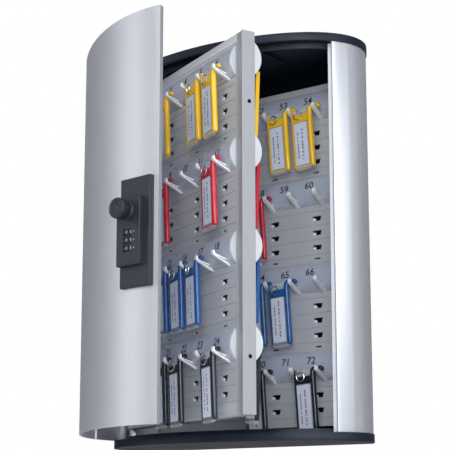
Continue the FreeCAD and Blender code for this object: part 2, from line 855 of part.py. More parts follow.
def tag_places(slots, xs, front, row_top):
    """Places of tags given as (row, column) pairs of a board's hooks."""
    places = []
    for row_index, column in slots:
        z = row_top - row_index * size("row_pitch") - size("strip_height") + HOOK_FOOT_UP + TAG_HANG_UP
        places.append(Placement(Vector(xs[column], front - TAG_DEPTH, z), TAG_TILT))
    return places


COLOURS = ("yellow", "red", "blue", "black")
LEAF_COLUMNS = ((2, 4, 5), (2, 5), (2, 3, 4), (2, 3, 5))
LEAF_REAR_COLUMN = 0
BOARD_COLUMNS = ((4, 5), (3,), (3, 4), (3, 5))
board_tag_places = []
leaf_tag_places = []
for row_index, colour in enumerate(COLOURS):
    front_slots = [(row_index, column) for column in LEAF_COLUMNS[row_index]]
    on_front = tag_places(front_slots, front_hook_xs, leaf_face, size("leaf_row_top"))
    rear_slots = [(row_index, LEAF_REAR_COLUMN)]
    on_rear = tag_places(rear_slots, sorted(rear_hook_xs), leaf_face, size("leaf_row_top"))
    on_leaf = on_front + [rear_turn.multiply(place) for place in on_rear]
    board_slots = [(row_index, column) for column in BOARD_COLUMNS[row_index]]
    on_board = tag_places(board_slots, board_hook_xs, board_front, size("board_row_top"))
    node(f"leaf_tags_{colour}", repeated(tag_pieces["frame"], on_leaf), leaf_place)
    node(f"board_tags_{colour}", repeated(tag_pieces["frame"], on_board))
    leaf_tag_places += on_leaf
    board_tag_places += on_board
for piece, label in (("sleeve", "tag_sleeves"), ("insert", "tag_inserts"), ("ring", "key_rings")):
    node(f"leaf_{label}", repeated(tag_pieces[piece], leaf_tag_places), leaf_place)
    node(f"board_{label}", repeated(tag_pieces[piece], board_tag_places))


# ---- door: curved sheet, stiffening profiles and the hinge tube ----

DOOR_HALF = "Sizes.height / 2 - Sizes.cap_rim - Sizes.door_clearance"
door_limits = (f"-({DOOR_HALF})", DOOR_HALF)


def door_part(outer, inner, start, end=None):
    """A strip of wall along the door between two cuts square to its free edge."""
    wall = plan_wall(outer, inner, *door_limits)
    rear = block("-Sizes.width", "Sizes.width", "-Sizes.door_rear_edge", FAR, -FAR, FAR)
    trims = [rear, split_block(-start, FAR)]
    if end is not None:
        trims.append(split_block(-FAR, -end))
    return cut(wall, *trims)


EDGE_PROFILE_THICK = 4
EDGE_PROFILE_END = 8
FLANGE_THICK = 1.6
FLANGE_END = -112
BUSH_RADIUS = 3.98
BUSH_SEAT_RADIUS = 4
BUSH_LENGTH = 8
TUBE_BORE_ROOM = 0.6
WINDOW_MARGIN = 6
DEEP = 30

# The lock is modelled flat in its own frame, with the door's outside along +Z.
LOCK_ANGLE = 52.0
LOCK_TURN = 34.1
SINK = 4.5
PLATE_LOW = SINK - 2.0
SEAT_GAP = 0.05
lock_point = outline_point(LOCK_ANGLE, size("skin_inset"))
lock_turn = Rotation(Vector(0, 0, 1), LOCK_TURN).multiply(FORWARD)
lock_base = Vector(lock_point.x, lock_point.y, size("lock_z")) - lock_turn.multVec(Vector(0, 0, SINK))
lock_closed = Placement(lock_base, lock_turn)
lock_place = door_place.multiply(lock_closed)
plate_half = size("lock_plate_width") / 2
plate_half_height = size("lock_plate_height") / 2

skin = "Sizes.skin_inset"
inside = f"{skin} + Sizes.sheet"
window_half = plate_half - WINDOW_MARGIN
window_half_height = plate_half_height - WINDOW_MARGIN
lock_window = block(
    -window_half, window_half, -window_half_height, window_half_height, -DEEP, DEEP
)
plate_seat = block(
    -plate_half, plate_half, -plate_half_height, plate_half_height, PLATE_LOW - SEAT_GAP, DEEP
)
lock_opening = grouped(lock_window, plate_seat)
lock_opening.Placement = lock_closed
node("door_panel", cut(door_part(skin, inside, size("split_gap")), lock_opening), door_place)
edge_profile = door_part(
    inside, f"{inside} + {EDGE_PROFILE_THICK}", size("split_gap"), EDGE_PROFILE_END
)
node("door_edge_profile", edge_profile, door_place)

door_half = size("height") / 2 - size("cap_rim") - size("door_clearance")
bush_feet = (door_half - BUSH_LENGTH, -door_half)


def on_door_pin(radius, length, z_low):
    """A rod about the door's hinge line."""
    return rod(radius, length, Vector(door_pin.x, door_pin.y, z_low))


hinge_region = block("-Sizes.width", FLANGE_END, -FAR, FAR, -FAR, FAR)
flange = common(door_part(inside, f"{inside} + {FLANGE_THICK}", size("split_gap")), hinge_region)
tube = on_door_pin("Sizes.knuckle_radius", 2 * door_half, -door_half)
web_region = block(door_pin.x - 6, door_pin.x, door_pin.y - 5, door_pin.y - 1.5, *door_limits)
tube_web = common(web_region, plan_prism(inside, *door_limits))
bush_seats = [on_door_pin(BUSH_SEAT_RADIUS, BUSH_LENGTH, foot) for foot in bush_feet]
bore = on_door_pin(f"Sizes.pin_radius + {TUBE_BORE_ROOM}", "Sizes.height", -size("height") / 2)
hinge_profile = cut(joined(flange, tube, tube_web), *bush_seats, bore)
node("door_hinge_profile", hinge_profile, door_place)


def bush(z_low):
    outer = on_door_pin(BUSH_RADIUS, BUSH_LENGTH, z_low)
    hole = on_door_pin("Sizes.pin_radius + Sizes.pin_clearance", BUSH_LENGTH + 2, z_low - 1)
    return cut(outer, hole)


node("door_bushes", grouped(*[bush(foot) for foot in bush_feet]), door_place)


# ---- combination lock ----

PLATE_OUT = 3.4
BODY_SHIFT = 0.3
WHEEL_SHOW = 1.0
WHEEL_ROOM = 0.6
SPACE_HALF_WIDTH = 7.6
SPACE_MARGIN = 3.4
FRONT_WALL = 1.4
WINDOW_HALF_WIDTH = 5.5
WINDOW_HALF_HEIGHT = 3.1
FIRST_WHEEL = -1.0
WHEELS = 3
plate_top = SINK + PLATE_OUT
axis_x = size("lock_axis_x")
body_low = -plate_half
body_high = body_low + size("lock_body_width")
body_top = plate_top + size("lock_body_thick")


def rounded(obj, radius, keep):
    """Rounds the edges of obj that keep accepts."""
    doc.recompute()
    fillet = doc.addObject("Part::Fillet", "Rounded")
    fillet.Base = obj
    chosen = [index for index, edge in enumerate(obj.Shape.Edges, start=1) if keep(edge)]
    fillet.Edges = [(index, radius, radius) for index in chosen]
    return fillet


def in_outer_face(height):
    """Chooses the edges that lie in or run up to the plane at a height."""
    return lambda edge: edge.BoundBox.ZMax > height - 0.01


plate = block(-plate_half, plate_half, -plate_half_height, plate_half_height, PLATE_LOW, plate_top)
plate = rounded(plate, 1.2, in_outer_face(plate_top))
body_z = size("lock_body_height") / 2
raised = block(body_low + BODY_SHIFT, body_high, -body_z, body_z, plate_top, body_top)
raised = rounded(raised, 1.0, in_outer_face(body_top))
wheel_heights = [FIRST_WHEEL - size("wheel_pitch") * index for index in range(WHEELS)]
wheel_depth = body_top - size("wheel_radius") + WHEEL_SHOW
wheel_space = block(
    axis_x - SPACE_HALF_WIDTH,
    axis_x + SPACE_HALF_WIDTH,
    wheel_heights[-1] - SPACE_MARGIN,
    wheel_heights[0] + SPACE_MARGIN,
    wheel_depth - size("wheel_radius") - WHEEL_ROOM,
    body_top - FRONT_WALL,
)
windows = [
    block(
        axis_x - WINDOW_HALF_WIDTH,
        axis_x + WINDOW_HALF_WIDTH,
        z - WINDOW_HALF_HEIGHT,
        z + WINDOW_HALF_HEIGHT,
        body_top - 2,
        body_top + 2,
    )
    for z in wheel_heights
]
knob_z = size("knob_z")
SPINDLE = 3.5
SPINDLE_GAP = 0.1
knob_bore = rod(SPINDLE + SPINDLE_GAP, 2 * DEEP, Vector(axis_x, knob_z, -DEEP))
node("lock_body", cut(raised, wheel_space, *windows, knob_bore), lock_place)
node("lock_backplate", cut(plate, wheel_space, knob_bore), lock_place)

CASE_DEPTH = 14.0
CASE_HALF_WIDTH = 9
CASE_FOOT = -23
CASE_TOP = 27.5
AXLE_RADIUS = 1.2
AXLE_END = 4.5
case_low = PLATE_LOW - CASE_DEPTH
case = block(
    axis_x - CASE_HALF_WIDTH, axis_x + CASE_HALF_WIDTH, CASE_FOOT, CASE_TOP, case_low, PLATE_LOW
)
node("lock_case", cut(case, wheel_space, knob_bore), lock_place)

axle_length = wheel_heights[0] - wheel_heights[-1] + 2 * AXLE_END
axle_foot = Vector(axis_x, wheel_heights[-1] - AXLE_END, wheel_depth)
axle = rod(AXLE_RADIUS, axle_length, axle_foot, Vector(0, 1, 0))
node("wheel_axle", grouped(axle), lock_place)


def code_wheel():
    """A thumb wheel about Z with ten shallow flutes between its ten digit flats."""
    radius = size("wheel_radius")
    half = size("wheel_thick") / 2
    bore = AXLE_RADIUS + size("pin_clearance")
    chamfer = 0.5
    body = doc.addObject("PartDesign::Body", "WheelBody")
    outline = [
        (bore, -half),
        (radius - chamfer, -half),
        (radius, -half + chamfer),
        (radius, half - chamfer),
        (radius - chamfer, half),
        (bore, half),
    ]
    sketch = sketch_on(body, "XZ_Plane", outline)
    revolution = body.newObject("PartDesign::Revolution", "Revolution")
    revolution.Profile = sketch
    revolution.ReferenceAxis = (sketch, ["V_Axis"])
    revolution.Angle = 360.0
    before = body_volume(body)
    notch = body.newObject("PartDesign::Pocket", "Notch")
    flute = rectangle(radius - chamfer, radius + 1, -0.4, 0.4)
    notch.Profile = sketch_on(body, "XY_Plane", flute, "Flute")
    notch.Midplane = True
    notch.Type = "ThroughAll"
    doc.recompute()
    pattern = body.newObject("PartDesign::PolarPattern", "Flutes")
    pattern.Originals = [notch]
    pattern.Axis = (origin_plane(body, "Z_Axis"), [""])
    pattern.Angle = 360
    pattern.Occurrences = 10
    body.Tip = pattern
    if body_volume(body) >= before:
        raise RuntimeError("the wheel's flutes cut nothing")
    return body


wheel_master = code_wheel()
wheel_turn = Rotation(Vector(1, 0, 0), -90)
for index, z in enumerate(wheel_heights, start=1):
    place = Placement(Vector(axis_x, z, wheel_depth), wheel_turn)
    node(f"code_wheel_{index}", repeated(wheel_master, [place]), lock_place)


def knob_body():
    """The turn knob: a waisted grip with a rounded face and a collar at its foot."""
    radius = size("knob_radius")
    reach = size("knob_reach")
    outline = [
        (0, 0.3),
        (radius - 0.6, 0.3),
        (radius - 0.6, 1.8),
        (radius - 1.6, 2.4),
        (radius - 1.6, 5.0),
        (radius, 6.2),
        (radius, reach - 1.2),
        (radius - 1.2, reach),
        (radius - 2.6, reach),
        (radius - 3.0, reach - 0.5),
        (0, reach - 0.5),
    ]
    return turned("KnobBody", outline)


knob_place = Placement(Vector(axis_x, knob_z, body_top), Rotation())
knob = repeated(knob_body(), [knob_place])
node("lock_knob", knob, lock_place)

CAM_GAP = 0.5
CAM_THICK = 2.4
CAM_HALF_WIDTH = 5
CAM_HEAD = 6
NUT_RADIUS = 5.5
NUT_THICK = 1.9
SPINDLE_END = 2.0
KNOB_GAP = 0.3
LOCK_SCREW_SIDE = 6
LOCK_SCREW_HEIGHT = -20.9
cam_outer = case_low - CAM_GAP
cam_inner = cam_outer - CAM_THICK
spindle_foot = Vector(axis_x, knob_z, cam_inner - SPINDLE_END)
spindle = rod(SPINDLE, body_top + KNOB_GAP - spindle_foot.z, spindle_foot)
cam = block(
    axis_x - CAM_HALF_WIDTH,
    axis_x + CAM_HALF_WIDTH,
    knob_z - size("cam_length"),
    knob_z + CAM_HEAD,
    cam_inner,
    cam_outer,
)
cam_hole = rod(SPINDLE, DEEP, Vector(axis_x, knob_z, cam_inner - DEEP / 2))
node("lock_cam", cut(cam, cam_hole), lock_place)
node("cam_nut", grouped(cut(rod(NUT_RADIUS, NUT_THICK, spindle_foot), cam_hole)), lock_place)
node("lock_spindle", grouped(spindle), lock_place)

lock_screw = screw_body(2.0, 1.2, 1.1, 3.0)
lock_screw_places = [
    Placement(Vector(axis_x + side, LOCK_SCREW_HEIGHT, case_low), Rotation(Vector(1, 0, 0), 180))
    for side in (-LOCK_SCREW_SIDE, LOCK_SCREW_SIDE)
]
node("lock_screws", repeated(lock_screw, lock_screw_places), lock_place)


def check(obj):
    """Stops the build if an object failed or a sub-part has no valid solid."""
    if any(state in ("Invalid", "Error") for state in obj.State):
        raise RuntimeError(f"{obj.Name} ({obj.Label}) failed: {obj.State}")


doc.recompute()
for obj in doc.Objects:
    check(obj)
os.makedirs("parts", exist_ok=True)
for obj in nodes:
    shape = obj.Shape
    if shape.isNull() or not shape.isValid() or not shape.Solids:
        raise RuntimeError(f"{obj.Label} has no valid solid")
    shape.exportStep(f"parts/{obj.Label}.step")
print(len(nodes), "nodes")
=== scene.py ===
import json
import math
import random

import bmesh
import bpy
from mathutils import Matrix, Vector


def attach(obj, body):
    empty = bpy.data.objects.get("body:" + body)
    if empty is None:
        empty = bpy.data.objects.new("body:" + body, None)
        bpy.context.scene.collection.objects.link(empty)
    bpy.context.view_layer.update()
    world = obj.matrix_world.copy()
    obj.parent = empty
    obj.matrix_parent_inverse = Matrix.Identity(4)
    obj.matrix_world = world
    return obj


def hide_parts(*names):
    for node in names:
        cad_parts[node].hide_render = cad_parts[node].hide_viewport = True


# The looks of the key cabinet, built around its CAD frame. Metres, same frame as the CAD.

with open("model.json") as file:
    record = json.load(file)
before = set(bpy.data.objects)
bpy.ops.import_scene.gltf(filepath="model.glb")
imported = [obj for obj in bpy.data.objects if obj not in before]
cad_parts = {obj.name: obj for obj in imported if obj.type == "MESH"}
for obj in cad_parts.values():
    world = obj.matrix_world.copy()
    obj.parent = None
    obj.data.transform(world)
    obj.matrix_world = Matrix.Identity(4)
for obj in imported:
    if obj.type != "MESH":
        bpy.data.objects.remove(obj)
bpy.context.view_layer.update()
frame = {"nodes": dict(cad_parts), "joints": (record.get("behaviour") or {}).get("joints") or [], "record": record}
MM = 0.001
SLOT_OF = {part["node"]: part["material_slot"] for part in frame["record"]["subparts"]}
JOINTS = {joint["name"]: joint for joint in frame["joints"]}
scene = bpy.context.scene


# ---- finishes: every one is a small procedural node tree in object coordinates ----

class Finish:
    """A node material under construction."""

    def __init__(self, name):
        self.material = bpy.data.materials.new(name)
        self.material.use_nodes = True
        self.nodes = self.material.node_tree.nodes
        self.links = self.material.node_tree.links
        self.shader = self.nodes["Principled BSDF"]
        self.coords = self.nodes.new("ShaderNodeTexCoord").outputs["Object"]

    def noise(self, scale, stretch=(1, 1, 1), detail=3):
        mapping = self.nodes.new("ShaderNodeMapping")
        mapping.inputs["Scale"].default_value = [scale * part for part in stretch]
        self.links.new(self.coords, mapping.inputs["Vector"])
        noise = self.nodes.new("ShaderNodeTexNoise")
        noise.inputs["Scale"].default_value = 1.0
        noise.inputs["Detail"].default_value = detail
        self.links.new(mapping.outputs["Vector"], noise.inputs["Vector"])
        return noise.outputs["Fac"]

    def ramp(self, value, low, high, start=0.3, end=0.7):
        ramp = self.nodes.new("ShaderNodeValToRGB")
        ramp.color_ramp.elements[0].position = start
        ramp.color_ramp.elements[0].color = (*low, 1)
        ramp.color_ramp.elements[1].position = end
        ramp.color_ramp.elements[1].color = (*high, 1)
        self.links.new(value, ramp.inputs["Fac"])
        return ramp.outputs["Color"]

    def spread(self, value, low, high):
        spread = self.nodes.new("ShaderNodeMapRange")
        spread.inputs["From Min"].default_value = 0.3
        spread.inputs["From Max"].default_value = 0.7
        spread.inputs["To Min"].default_value = low
        spread.inputs["To Max"].default_value = high
        self.links.new(value, spread.inputs["Value"])
        return spread.outputs["Result"]

    def bump(self, value, depth):
        bump = self.nodes.new("ShaderNodeBump")
        bump.inputs["Distance"].default_value = depth
        bump.inputs["Strength"].default_value = 0.5
        self.links.new(value, bump.inputs["Height"])
        self.links.new(bump.outputs["Normal"], self.shader.inputs["Normal"])

    def plug(self, value, socket):
        self.links.new(value, self.shader.inputs[socket])


def plastic(name, low, high, rough=(0.35, 0.5), grain=1500, depth=0.00002, coat=0.0, gloss=0.5):
    look = Finish(name)
    fine = look.noise(grain)
    broad = look.noise(25, detail=2)
    look.plug(look.ramp(broad, low, high), "Base Color")
    look.plug(look.spread(broad, *rough), "Roughness")
    look.bump(fine, depth)
    look.shader.inputs["Coat Weight"].default_value = coat
    look.shader.inputs["Specular IOR Level"].default_value = gloss
    return look.material


def metal(name, low, high, rough, stretch, grain=60, metallic=1.0, depth=0.0):
    look = Finish(name)
    lines = look.noise(grain, stretch, detail=4)
    look.plug(look.ramp(lines, low, high), "Base Color")
    look.plug(look.spread(lines, *rough), "Roughness")
    look.shader.inputs["Metallic"].default_value = metallic
    if depth:
        look.bump(lines, depth)
    return look.material


def shade(level, tint=(1, 1, 1)):
    return tuple(level * part for part in tint)


COOL = (0.95, 0.98, 1.06)
VERTICAL = (40, 40, 0.4)
SIDEWAYS = (0.4, 0.4, 40)
LOOKS = {
    "aluminium_satin": metal(
        "aluminium_satin", shade(0.66, COOL), shade(0.72, COOL), (0.46, 0.54), VERTICAL, metallic=0.9
    ),
    # Right jamb: a paler, less metallic copy of the aluminium, painted highlight on its front flange.
    "jamb_painted_highlight": metal(
        "jamb_painted_highlight", shade(0.84, COOL), shade(0.88, COOL), (0.4, 0.5), VERTICAL, metallic=0.25
    ),
    "board_aluminium": metal(
        "board_aluminium", shade(0.56, COOL), shade(0.61, COOL), (0.42, 0.5), SIDEWAYS, metallic=0.3
    ),
    # Leaf post and its flanges: a darker copy of the aluminium, painted shade on the post.
    "post_aluminium_painted_shade": metal(
        "post_aluminium_painted_shade", shade(0.34, COOL), shade(0.39, COOL), (0.42, 0.5), VERTICAL, metallic=0.3
    ),
    "cap_plastic": plastic(
        "cap_plastic", (0.005, 0.010, 0.020), (0.007, 0.013, 0.026), (0.40, 0.50), gloss=0.25
    ),
    "dark_steel": plastic(
        "dark_steel", (0.002, 0.003, 0.006), (0.003, 0.004, 0.008), (0.5, 0.6), gloss=0.1
    ),
    "label_card": plastic("label_card", (0.40, 0.44, 0.54), (0.44, 0.48, 0.58), (0.25, 0.32), coat=0.4),
    "white_plastic": plastic("white_plastic", (0.78, 0.80, 0.83), (0.84, 0.86, 0.88), (0.3, 0.4)),
    "steel": metal("steel", shade(0.50), shade(0.58), (0.25, 0.35), (1, 1, 1), grain=400),
    "bush_plastic": plastic("bush_plastic", (0.03, 0.03, 0.034), (0.04, 0.04, 0.045)),
    "lock_plastic": plastic(
        "lock_plastic", (0.016, 0.020, 0.027), (0.020, 0.025, 0.033), (0.45, 0.55), gloss=0.35
    ),
    "lock_case_metal": plastic("lock_case_metal", (0.08, 0.08, 0.09), (0.11, 0.11, 0.12), (0.4, 0.6)),
    "wheel_plastic": plastic(
        "wheel_plastic", (0.008, 0.010, 0.013), (0.012, 0.014, 0.018), (0.3, 0.4), gloss=0.4
    ),
    "tag_yellow": plastic("tag_yellow", (0.80, 0.46, 0.004), (0.90, 0.54, 0.008), (0.2, 0.3), coat=0.3),
    "tag_red": plastic("tag_red", (0.46, 0.008, 0.025), (0.54, 0.012, 0.036), (0.2, 0.3), coat=0.3),
    "tag_blue": plastic("tag_blue", (0.008, 0.075, 0.26), (0.012, 0.10, 0.33), (0.2, 0.3), coat=0.3),
    "tag_black": plastic("tag_black", (0.006, 0.010, 0.018), (0.009, 0.015, 0.025), (0.2, 0.3), coat=0.3),
    "tag_paper": plastic("tag_paper", (0.60, 0.65, 0.78), (0.66, 0.70, 0.82), (0.4, 0.5)),
    "ring_steel": metal("ring_steel", shade(0.68), shade(0.78), (0.12, 0.2), (1, 1, 1), grain=300),
    "ink": plastic("ink", (0.010, 0.011, 0.013), (0.016, 0.017, 0.020), (0.4, 0.5)),
    "grey_ink": plastic("grey_ink", (0.09, 0.10, 0.12), (0.12, 0.13, 0.15), (0.4, 0.5)),
    "pale_ink": plastic("pale_ink", (0.30, 0.32, 0.35), (0.36, 0.38, 0.41), (0.4, 0.5)),
    # End clips: white plastic darkened to mid grey, painted shade on the clips.
    "clip_plastic_painted_shade": plastic(
        "clip_plastic_painted_shade", (0.50, 0.52, 0.55), (0.56, 0.58, 0.61), (0.35, 0.45), gloss=0.3
    ),
}


def clear(name, alpha, tint):
    look = Finish(name)
    cloud = look.noise(60, detail=2)
    look.plug(look.ramp(cloud, tint, shade(1.06, tint)), "Base Color")
    look.plug(look.spread(cloud, 0.06, 0.16), "Roughness")
    look.shader.inputs["Alpha"].default_value = alpha
    look.shader.inputs["Specular IOR Level"].default_value = 0.8
    return look.material


LOOKS["clear_plastic"] = clear("clear_plastic", 0.22, (0.74, 0.77, 0.82))


# ---- CAD nodes that stay: a finish and softened edges ----

WELD_GAP = 0.002 * MM
SMALL_EDGE = 0.25 * MM


def soften(obj, width, angle=35):
    """Rounds an object's hard edges without changing its mesh data."""
    weld = obj.modifiers.new("Weld", "WELD")
    weld.merge_threshold = WELD_GAP
    bevel = obj.modifiers.new("Bevel", "BEVEL")
    bevel.width = width
    bevel.segments = 2
    bevel.limit_method = "ANGLE"
    bevel.angle_limit = math.radians(angle)
    bevel.harden_normals = True


EDGE = {
    "top_cap": 0.7 * MM,
    "bottom_cap": 0.7 * MM,
    "lock_backplate": 0.9 * MM,
    "lock_body": 0.8 * MM,
}
SPECIAL_LOOKS = {
    # Paler copy of the aluminium for the jamb, painted highlight.
    "right_jamb": "jamb_painted_highlight",
    "leaf_post_screws": "dark_steel",
    # Grey copy of the white clip plastic, painted shade.
    "leaf_end_clips": "clip_plastic_painted_shade",
    # Darker copy of the aluminium for the post, painted shade.
    "leaf_post": "post_aluminium_painted_shade",
}
SHARP = ("back_plate", "door_panel", "board_labels", "leaf_labels")
for name, obj in frame["nodes"].items():
    slot = SLOT_OF[name]
    obj.data.materials.clear()
    obj.data.materials.append(LOOKS[SPECIAL_LOOKS.get(name, slot)])
    if name not in SHARP:
        soften(obj, EDGE.get(name, SMALL_EDGE))


# ---- mesh helpers: every piece is built from lists of (vertices, faces) in millimetres ----

def solid_between(rings, closed_ends=True):
    """A skin over rings of points with equal counts."""
    vertices = [point for ring in rings for point in ring]
    count = len(rings[0])
    faces = []
    for level in range(len(rings) - 1):
        base = level * count
        for index in range(count):
            beside = (index + 1) % count
            faces.append((base + index, base + beside, base + count + beside, base + count + index))
    if closed_ends:
        faces.append(tuple(reversed(range(count))))
        faces.append(tuple(range(len(vertices) - count, len(vertices))))
    return vertices, faces


def slab(x_low, x_high, y_low, y_high, z_low, z_high):
    ring = [(x_low, y_low), (x_high, y_low), (x_high, y_high), (x_low, y_high)]
    return solid_between([[(x, y, z) for x, y in ring] for z in (z_low, z_high)])


def swept(path, radii, sides=14):
    """A round bar along a path in the XZ plane, with one radius at each point."""
    rings = []
    for index, (x, z) in enumerate(path):
        before = path[max(index - 1, 0)]
        after = path[min(index + 1, len(path) - 1)]
        along = Vector((after[0] - before[0], 0, after[1] - before[1])).normalized()
        across = Vector((0, 1, 0)).cross(along)
        ring = []
        for side in range(sides):
            turn = 2 * math.pi * side / sides
            offset = Vector((0, 1, 0)) * math.sin(turn) + across * math.cos(turn)
            ring.append(tuple(Vector((x, 0, z)) + offset * radii[index]))
        rings.append(ring)
    return solid_between(rings)


def rounded_outline(x_low, x_high, z_low, z_high, radius, steps=5):
    """A rectangle's outline with four rounded corners."""
    corners = (
        (x_high - radius, z_high - radius, 0),
        (x_low + radius, z_high - radius, 90),
        (x_low + radius, z_low + radius, 180),
        (x_high - radius, z_low + radius, 270),
    )
    outline = []
    for x, z, start in corners:
        for step in range(steps + 1):
            turn = math.radians(start + 90 * step / steps)
            outline.append((x + radius * math.cos(turn), z + radius * math.sin(turn)))
    return outline


def plate(outline, y_low, y_high):
    """A flat plate with an outline in the XZ plane."""
    return solid_between([[(x, y, z) for x, z in outline] for y in (y_high, y_low)])


def torus(centre, radius, thickness, tilt=Matrix.Identity(3), sides=32, around=10):
    """A ring of round wire in the XZ plane, turned by tilt about its centre."""
    rings = []
    for step in range(sides):
        turn = 2 * math.pi * step / sides
        out = Vector((math.cos(turn), 0, math.sin(turn)))
        ring = []
        for part in range(around):
            roll = 2 * math.pi * part / around
            away = radius + thickness * math.cos(roll)
            point = out * away + Vector((0, 1, 0)) * thickness * math.sin(roll)
            ring.append(tuple(Vector(centre) + tilt @ point))
        rings.append(ring)
    vertices, faces = solid_between(rings, closed_ends=False)
    base = (sides - 1) * around
    for part in range(around):
        beside = (part + 1) % around
        faces.append((base + part, base + beside, beside, part))
    return vertices, faces


def lathe(profile, sides=48, wobble=None):
    """Turns (radius, height) pairs about the local Z axis."""
    rings = []
    for radius, height in profile:
        ring = []
        for side in range(sides):
            turn = 2 * math.pi * side / sides
            reach = radius if wobble is None else radius + wobble(radius, turn)
            ring.append((reach * math.cos(turn), reach * math.sin(turn), height))
        rings.append(ring)
    return solid_between(rings)


def moved(part, place):
    """A part's copy in another frame."""
    vertices, faces = part
    return [tuple(place @ Vector(point)) for point in vertices], faces


FONT_SIZE_PER_HEIGHT = 1.38
LETTER_RELIEF = 0.04
LETTER_WEIGHT = 0.012


def lettering(text, height, place):
    """Raised text, centred on its place, facing the local -Y side."""
    curve = bpy.data.curves.new("lettering", "FONT")
    curve.body = text
    curve.align_x = "CENTER"
    curve.align_y = "CENTER"
    curve.size = height * FONT_SIZE_PER_HEIGHT
    curve.extrude = LETTER_RELIEF
    curve.offset = LETTER_WEIGHT * height
    curve.resolution_u = 4
    obj = bpy.data.objects.new("lettering", curve)
    scene.collection.objects.link(obj)
    bpy.context.view_layer.update()
    mesh = bpy.data.meshes.new_from_object(obj.evaluated_get(bpy.context.evaluated_depsgraph_get()))
    upright = place @ Matrix.Rotation(math.radians(90), 4, "X")
    vertices = [tuple(upright @ v.co) for v in mesh.vertices]
    faces = [tuple(face.vertices) for face in mesh.polygons]
    bpy.data.objects.remove(obj)
    bpy.data.curves.remove(curve)
    bpy.data.meshes.remove(mesh)
    return vertices, faces


def piece(name, parts, board, body, look, stands_for=(), smooth=35, edge=0.0):
    """One shown object from parts in a board's own frame, in millimetres."""
    mesh = bpy.data.meshes.new(name)
    vertices, faces = [], []
    for part_vertices, part_faces in parts:
        base = len(vertices)
        vertices += [tuple((board @ Vector(point)) * MM) for point in part_vertices]
        faces += [tuple(base + index for index in face) for face in part_faces]
    mesh.from_pydata(vertices, [], faces)
    work = bmesh.new()
    work.from_mesh(mesh)
    bmesh.ops.recalc_face_normals(work, faces=work.faces)
    for face in work.faces:
        face.smooth = True
    for line in work.edges:
        line.smooth = line.calc_face_angle(0.0) < math.radians(smooth)
    work.to_mesh(mesh)
    work.free()
    mesh.materials.append(LOOKS[look])
    obj = bpy.data.objects.new(name, mesh)
    scene.collection.objects.link(obj)
    if edge:
        soften(obj, edge)
    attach(obj, body)
    if stands_for:
        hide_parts(*stands_for)
    return obj


# ---- board frames: local X along the row, -Y out of the face, Z up, in millimetres ----

def joint_place(name):
    """A joint's point in millimetres."""
    return Vector(JOINTS[name]["pos_m"]) / MM


# The leaf's lower limit is its closed position, so it also says how far the rest pose is open.
leaf_turn = math.radians(JOINTS["leaf_hinge"]["range_deg"][0])
leaf_frame = Matrix.Translation(joint_place("leaf_hinge")) @ Matrix.Rotation(leaf_turn, 4, "Z")
rear_frame = leaf_frame @ Matrix.Rotation(math.pi, 4, "Z")
board_frame = Matrix.Identity(4)

ROWS = 4
COLUMNS = 6
ROW_PITCH = 91.0
STRIP = 30.0
BULGE = 6.5
BOARD_TOP = 168.0
LEAF_TOP = 174.5
BOARD_FACE = -5.1
LEAF_FACE = -5.8
BOARD_HOOK_PITCH = 30.5
LEAF_HOOK_PITCH = 32.4
BOARD_HOOKS = [85 - BOARD_HOOK_PITCH * index for index in reversed(range(COLUMNS))]
LEAF_HOOKS = [213 - LEAF_HOOK_PITCH * index for index in reversed(range(COLUMNS))]
REAR_HOOKS = [-196 + LEAF_HOOK_PITCH * index for index in range(COLUMNS)]


# ---- key tags ----

COLOURS = ("yellow", "red", "blue", "black")
LEAF_COLUMNS = ((2, 4, 5), (2, 5), (2, 3, 4), (2, 3, 5))
BOARD_COLUMNS = ((4, 5), (3,), (3, 4), (3, 5))
TAG_TILT = Matrix.Rotation(math.radians(-4), 4, "Y")
HOOK_FOOT_UP = -1.5
TAG_HANG_UP = 14.2
TAG_OUT = 14.3


def tag_place(x, face, row_top, row):
    """Where a tag hangs on a hook of a row."""
    z = row_top - row * ROW_PITCH - STRIP + (HOOK_FOOT_UP + TAG_HANG_UP)
    return Matrix.Translation(Vector((x, face - TAG_OUT, z))) @ TAG_TILT


RAIL = -7.0
# The rail runs up to a bend and ends in the bar that lies over the hook's arm.
RAIL_PATH = [
    (RAIL, -66.1), (RAIL, -65.8), (RAIL, -65.0), (RAIL, -63.8), (RAIL, -42), (RAIL, -20), (RAIL, -12),
    (RAIL + 0.1, -6.5), (RAIL + 0.6, -3.6), (RAIL + 1.8, -1.9), (RAIL + 3.8, -1.2), (-0.6, -1.1),
    (1.8, -1.2), (3.3, -1.6), (4.3, -2.6), (4.7, -3.6), (4.8, -4.5), (4.8, -4.9),
]
RAIL_RADII = [0.7, 1.7, 2.5, 2.9, 2.9, 2.9, 2.9, 2.9, 2.8, 2.5, 2.0, 1.6, 1.6, 1.9, 2.2, 2.1, 1.4, 0.5]
TAG_LEFT = -28.1
TAG_FOOT = -65.0
EDGE_HALF, BAND_HALF, LINE_HALF, SLEEVE_HALF = 2.0, 1.9, 1.7, 1.8
BAND_LOW, BAND_HIGH = -15.8, -8.2
PAPER_LEFT, PAPER_RIGHT = -25.7, -10.4
PAPER_LOW, PAPER_HIGH = -62.6, -16.8
PAPER_INNER, PAPER_OUTER = 1.86, 2.02
INK_INNER, INK_OUTER = 2.03, 2.10


